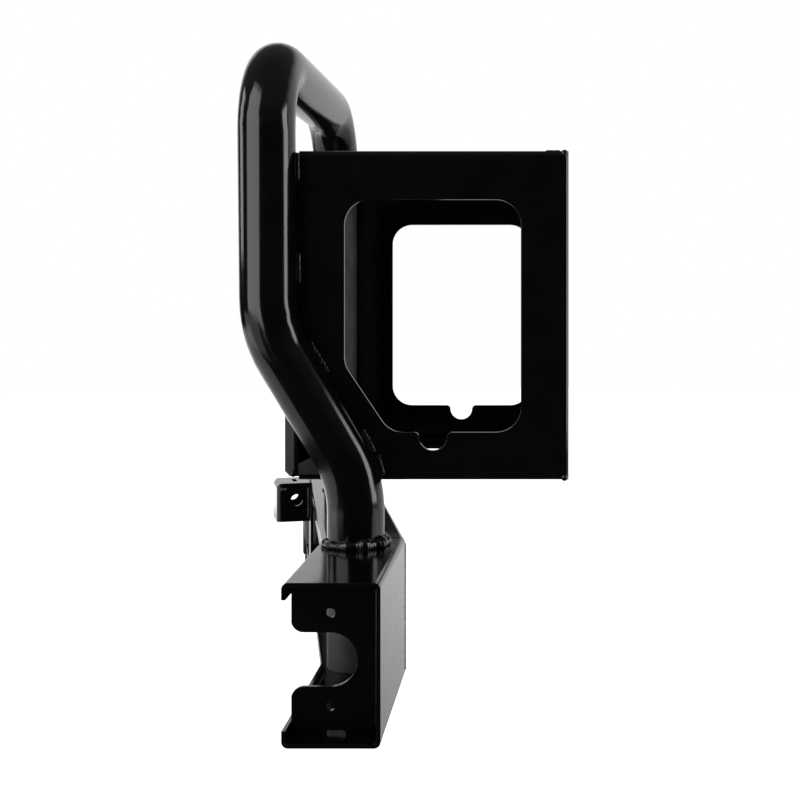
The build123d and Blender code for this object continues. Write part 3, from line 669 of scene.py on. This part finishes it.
def softbox(name, location, target, width, height, radiance, colour):
    """Rectangular area light of a given brightness, seen in reflections only."""
    light = bpy.data.lights.new(name, "AREA")
    light.shape = "RECTANGLE"
    light.size = width
    light.size_y = height
    light.energy = radiance * math.pi * width * height
    light.color = colour
    lamp = bpy.data.objects.new(name, light)
    bpy.context.scene.collection.objects.link(lamp)
    lamp.location = location
    lamp.visible_camera = False
    lamp.rotation_mode = "QUATERNION"
    lamp.rotation_quaternion = (Vector(target) - lamp.location).to_track_quat("-Z", "Y")


def around_leg(azimuth, distance, height):
    """Point at an azimuth round the hoop's near leg, from 0 at -Y to 90 at +X."""
    angle = math.radians(azimuth)
    leg_x = HOOP_LOW.x + TUBE_R
    return (leg_x + distance * math.sin(angle), NEAR_LEG_Y - distance * math.cos(angle), height)


def combine(tree, operation, first, second):
    """One value from two."""
    node = tree.nodes.new("ShaderNodeMath")
    node.operation = operation
    tree.links.new(first, node.inputs[0])
    tree.links.new(second, node.inputs[1])
    return node.outputs["Value"]


def studio_world():
    """White wall behind the object, dark on the camera's side; the camera itself sees white all round."""
    world = bpy.data.worlds.new("studio")
    bpy.context.scene.world = world
    world.use_nodes = True
    tree = world.node_tree
    tree.nodes.clear()
    direction = tree.nodes.new("ShaderNodeTexCoord").outputs["Generated"]
    axes = tree.nodes.new("ShaderNodeSeparateXYZ")
    tree.links.new(direction, axes.inputs["Vector"])
    elevation = axes.outputs["Z"]
    facing = tree.nodes.new("ShaderNodeVectorMath")
    facing.operation = "DOT_PRODUCT"
    facing.inputs[1].default_value = WALL_MIDDLE
    tree.links.new(direction, facing.inputs[0])
    wall = spread(tree, facing.outputs["Value"], 0.0, WALL_LIGHT, *WALL_EDGE)
    wall = combine(tree, "MULTIPLY", wall, spread(tree, elevation, 0.0, 1.0, *WALL_TOP))
    wall = combine(tree, "MULTIPLY", wall, spread(tree, elevation, FLOOR_SHARE, 1.0, *FLOOR_EDGE))
    ceiling = spread(tree, elevation, *CEILING_LIGHT, *CEILING_EDGE)
    around = tree.nodes.new("ShaderNodeBackground")
    tree.links.new(combine(tree, "ADD", wall, ceiling), around.inputs["Strength"])
    seen = add_node(tree, "ShaderNodeBackground", Color=(1, 1, 1, 1), Strength=1.0)
    rays = tree.nodes.new("ShaderNodeLightPath")
    mix = tree.nodes.new("ShaderNodeMixShader")
    out = tree.nodes.new("ShaderNodeOutputWorld")
    tree.links.new(rays.outputs["Is Camera Ray"], mix.inputs["Fac"])
    tree.links.new(around.outputs["Background"], mix.inputs[1])
    tree.links.new(seen.outputs["Background"], mix.inputs[2])
    tree.links.new(mix.outputs["Shader"], out.inputs["Surface"])


def flat_object(name, corners, material):
    """Object with one flat face."""
    mesh = bpy.data.meshes.new(name)
    mesh.from_pydata(corners, [], [range(len(corners))])
    mesh.materials.append(material)
    flat = bpy.data.objects.new(name, mesh)
    bpy.context.scene.collection.objects.link(flat)
    return flat


def dark_card(left, right, y, bottom, top):
    """Black card behind the object, seen only in reflections on the beam's top."""
    corners = [(left, y, bottom), (right, y, bottom), (right, y, top), (left, y, top)]
    material, _, _ = new_material("card", BLACK, 0.9)
    card = flat_object("dark_card", corners, material)
    card.visible_camera = False
    card.visible_shadow = False
    card.visible_diffuse = False


def studio_floor(height):
    """Round pale floor under the object."""
    turns = [math.tau * i / 96 for i in range(96)]
    rim = [(FLOOR_R * math.cos(t), FLOOR_R * math.sin(t), height) for t in turns]
    material, _, shader = new_material("floor", FLOOR_GREY, 0.7)
    shader.inputs["Emission Color"].default_value = (1, 1, 1, 1)
    shader.inputs["Emission Strength"].default_value = FLOOR_GLOW
    floor = flat_object("floor", rim, material)
    floor.visible_glossy = False


studio_world()
studio_floor(cad_low.z)
dark_card(left=-0.06, right=0.13, y=0.6, bottom=0.24, top=0.5)
for name, (azimuth, distance, height, *panel) in LEG_LIGHTS.items():
    softbox(name, around_leg(azimuth, distance, height), around_leg(0, 0, height), *panel)
for name, (x, y, *panel) in FLOOR_LIGHTS.items():
    softbox(name, (x, y, cad_low.z + 10 * MM), (x, y, 1), *panel)


# ------------------------------------------------------------------ camera
camera = bpy.data.objects.new("camera", bpy.data.cameras.new("camera"))
bpy.context.scene.collection.objects.link(camera)
camera.location = (0.3801, -2.205, 0.4226)
camera.rotation_euler = (math.radians(90), 0, 0)
camera.data.lens = 59.55
camera.data.sensor_width = 36
camera.data.shift_x = -0.19875
camera.data.shift_y = -0.11
bpy.context.scene.camera = camera
bpy.context.scene.view_settings.view_transform = "Standard"
